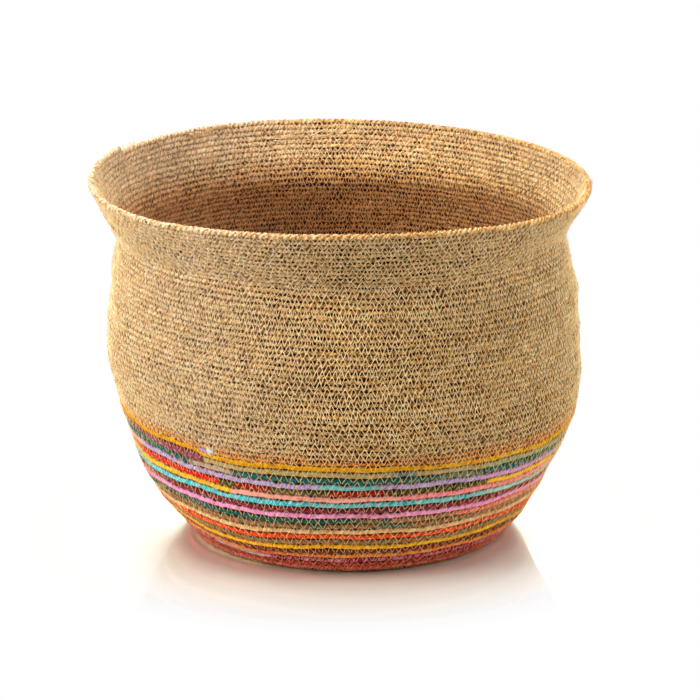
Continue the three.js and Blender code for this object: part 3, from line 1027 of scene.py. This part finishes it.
frayed(
    "frayed_rim_end", 401, RIM_END, RIM_TOP, 1, 40, (0.003, 0.001), (0.1, 0.4),
    (0.007, 0.0015), 0.0002, pale_fibre,
)
frayed(
    "loose_rim_strand", 402, STRAND_SPOT, RIM_TOP - 0.0015, -1, 18, (0.014, 0.001), (0.0, 0.1),
    (0.012, 0.0018), 0.0005, pale_fibre,
)
frayed(
    "frayed_right_rim", 403, RIGHT_RIM_SPOT, RIM_TOP, 1, 30, (0.004, 0.001), (0.8, 0.6),
    (0.008, 0.003), 0.00016, pale_fibre,
)
frayed(
    "frayed_neck", 404, NECK_SPOT, middle(NECK_SPOT), 1, 90, (0.02, 0.006), (0.3, 1.2),
    (0.014, 0.006), 0.00013, loose_fibre,
)
frayed(
    "broken_straws", 405, STRAW_SPOT, middle(STRAW_SPOT), -1, 12, (0.03, 0.003), (0.15, 0.2),
    (0.026, 0.0016), 0.00045, pale_fibre,
)
frayed(
    "tucked_lavender_rag", 406, TUCKED_SPOT + 0.002, lower_side(TUCKED_SPOT) + 0.0012, 1, 22,
    (0.002, 0.0012), (1.4, 0.7), (0.006, 0.0012), 0.00045, lavender_end,
)
frayed(
    "tucked_white_rag", 407, TUCKED_SPOT - 0.003, lower_side(TUCKED_SPOT) + 0.0016, 1, 26,
    (0.003, 0.002), (1.4, 0.8), (0.007, 0.0014), 0.00035, white_end,
)

# THE FLOOR
# A white floor with a soft gloss, in which the basket is mirrored faintly close to where it
# stands. Near the basket it is painted a darker, warm shade and its gloss is tinted warm; further
# out the floor is the plain white of the background.

FLOOR_SIZE = 6.0
WHITE = (1, 1, 1, 1)
# Painted shade: darker and warmer than white, seen only near the basket
FLOOR_WARM_SHADE = (0.84, 0.82, 0.72, 1)
FLOOR_ROUGHNESS = 0.6
FLOOR_SHINE = 0.1
MIRROR_COLOUR = (0.97, 0.92, 0.76, 1)
BLURRED_ROUGHNESS = 0.3
SHARP_ROUGHNESS = 0.05
PLAIN_WHITE = (0.16, 0.25)  # metres from the middle where the floor turns plain white

half = FLOOR_SIZE / 2
floor_mesh = bpy.data.meshes.new("floor")
floor_mesh.from_pydata(
    [(-half, -half, 0), (half, -half, 0), (half, half, 0), (-half, half, 0)], [], [(0, 1, 2, 3)]
)
floor = bpy.data.objects.new("floor", floor_mesh)
bpy.context.scene.collection.objects.link(floor)

floor_material, paint = new_material("white_floor")
floor_nodes = floor_material.node_tree.nodes
surface = floor_nodes["Principled BSDF"]
surface.inputs["Base Color"].default_value = FLOOR_WARM_SHADE
surface.inputs["Roughness"].default_value = FLOOR_ROUGHNESS
surface.inputs["Specular IOR Level"].default_value = FLOOR_SHINE
distance = paint.node("VectorMath", {"operation": "LENGTH"}, {0: paint.body()}, "Value")


def mirrored(near, far, share):
    """How strongly the floor mirrors: this share up to near, and nothing beyond far."""
    return (1 - distance.clamped(near, far)) * share


painted = Wire(paint.tree, surface.outputs[0])
glow = paint.node("Emission")
laid = paint.node("MixShader", {}, {0: distance.clamped(*PLAIN_WHITE), 1: painted, 2: glow})
for share, roughness in (
    (mirrored(0.15, 0.26, 0.38) + mirrored(0.135, 0.165, 0.4), BLURRED_ROUGHNESS),
    (mirrored(0.17, 0.29, 0.17), SHARP_ROUGHNESS),
):
    mirror = {"Color": MIRROR_COLOUR, "Roughness": roughness}
    gloss = paint.node("BsdfAnisotropic", {}, mirror)
    laid = paint.node("MixShader", {}, {0: share, 1: laid, 2: gloss})
paint.tree.links.new(laid.socket, floor_nodes["Material Output"].inputs["Surface"])
floor_mesh.materials.append(floor_material)

# THE LIGHT
# Five soft lamps in a white studio. The camera and all gloss see its plain white, and the basket
# gets only a little light from it.

AMBIENT = 0.1

world = bpy.data.worlds.new("studio")
bpy.context.scene.world = world
world.use_nodes = True
studio = world.node_tree.nodes
dim = studio["Background"]
dim.inputs["Color"].default_value = WHITE
dim.inputs["Strength"].default_value = AMBIENT
ambient = Wire(world.node_tree, dim.outputs[0])
backdrop = ambient.node("Background", {}, {"Color": WHITE, "Strength": 1.0})
seen = ambient.node("LightPath", output="Is Camera Ray")
for ray in ("Is Glossy Ray", "Is Transmission Ray"):
    seen = ambient.maths("MAXIMUM", seen, ambient.node("LightPath", output=ray))
blend = ambient.node("MixShader", {}, {0: seen, 1: ambient, 2: backdrop})
world.node_tree.links.new(blend.socket, studio["World Output"].inputs["Surface"])

LAMPS_AIM = (0, 0, 0.15)


def softbox(name, place, size, watts):
    """A square soft light that points at the basket."""
    lamp = bpy.data.lights.new(name, "AREA")
    lamp.size = size
    lamp.energy = watts
    light = bpy.data.objects.new(name, lamp)
    light.location = place
    way = np.array(LAMPS_AIM) - np.array(place)
    light.rotation_euler = (
        math.atan2(math.hypot(way[0], way[1]), -way[2]),
        0,
        math.atan2(way[1], way[0]) - math.pi / 2,
    )
    bpy.context.scene.collection.objects.link(light)


softbox("left_softbox", (-1.93, -0.86, 1.3), 1.2, 76)
softbox("right_softbox", (2.0, -0.7, 1.3), 1.2, 45)
softbox("top_softbox", (-0.2, 0.1, 2.4), 1.6, 60)
softbox("front_softbox", (0.2, -2.2, 0.6), 1.2, 2)
softbox("back_softbox", (0.3, 2.2, 1.4), 1.2, 24)

# THE CAMERA
# A long lens, three metres away, that looks down a little at the middle of the basket.

CAMERA_DISTANCE = 3.0
CAMERA_ELEVATION = math.radians(15.6)
CAMERA_AIM = (0.0074, 0.0019, 0.1545)
PICTURE_SIDE = 700  # pixels
METRES_PER_PIXEL = 0.00086  # at the aim
SENSOR_WIDTH = 36  # mm

lens = bpy.data.cameras.new("camera")
lens.sensor_width = SENSOR_WIDTH
lens.lens = SENSOR_WIDTH * CAMERA_DISTANCE / (METRES_PER_PIXEL * PICTURE_SIDE)
camera = bpy.data.objects.new("camera", lens)
camera.location = (
    CAMERA_AIM[0],
    CAMERA_AIM[1] - CAMERA_DISTANCE * math.cos(CAMERA_ELEVATION),
    CAMERA_AIM[2] + CAMERA_DISTANCE * math.sin(CAMERA_ELEVATION),
)
camera.rotation_euler = (math.pi / 2 - CAMERA_ELEVATION, 0, 0)
bpy.context.scene.collection.objects.link(camera)
bpy.context.scene.camera = camera
bpy.context.scene.view_settings.view_transform = "Standard"
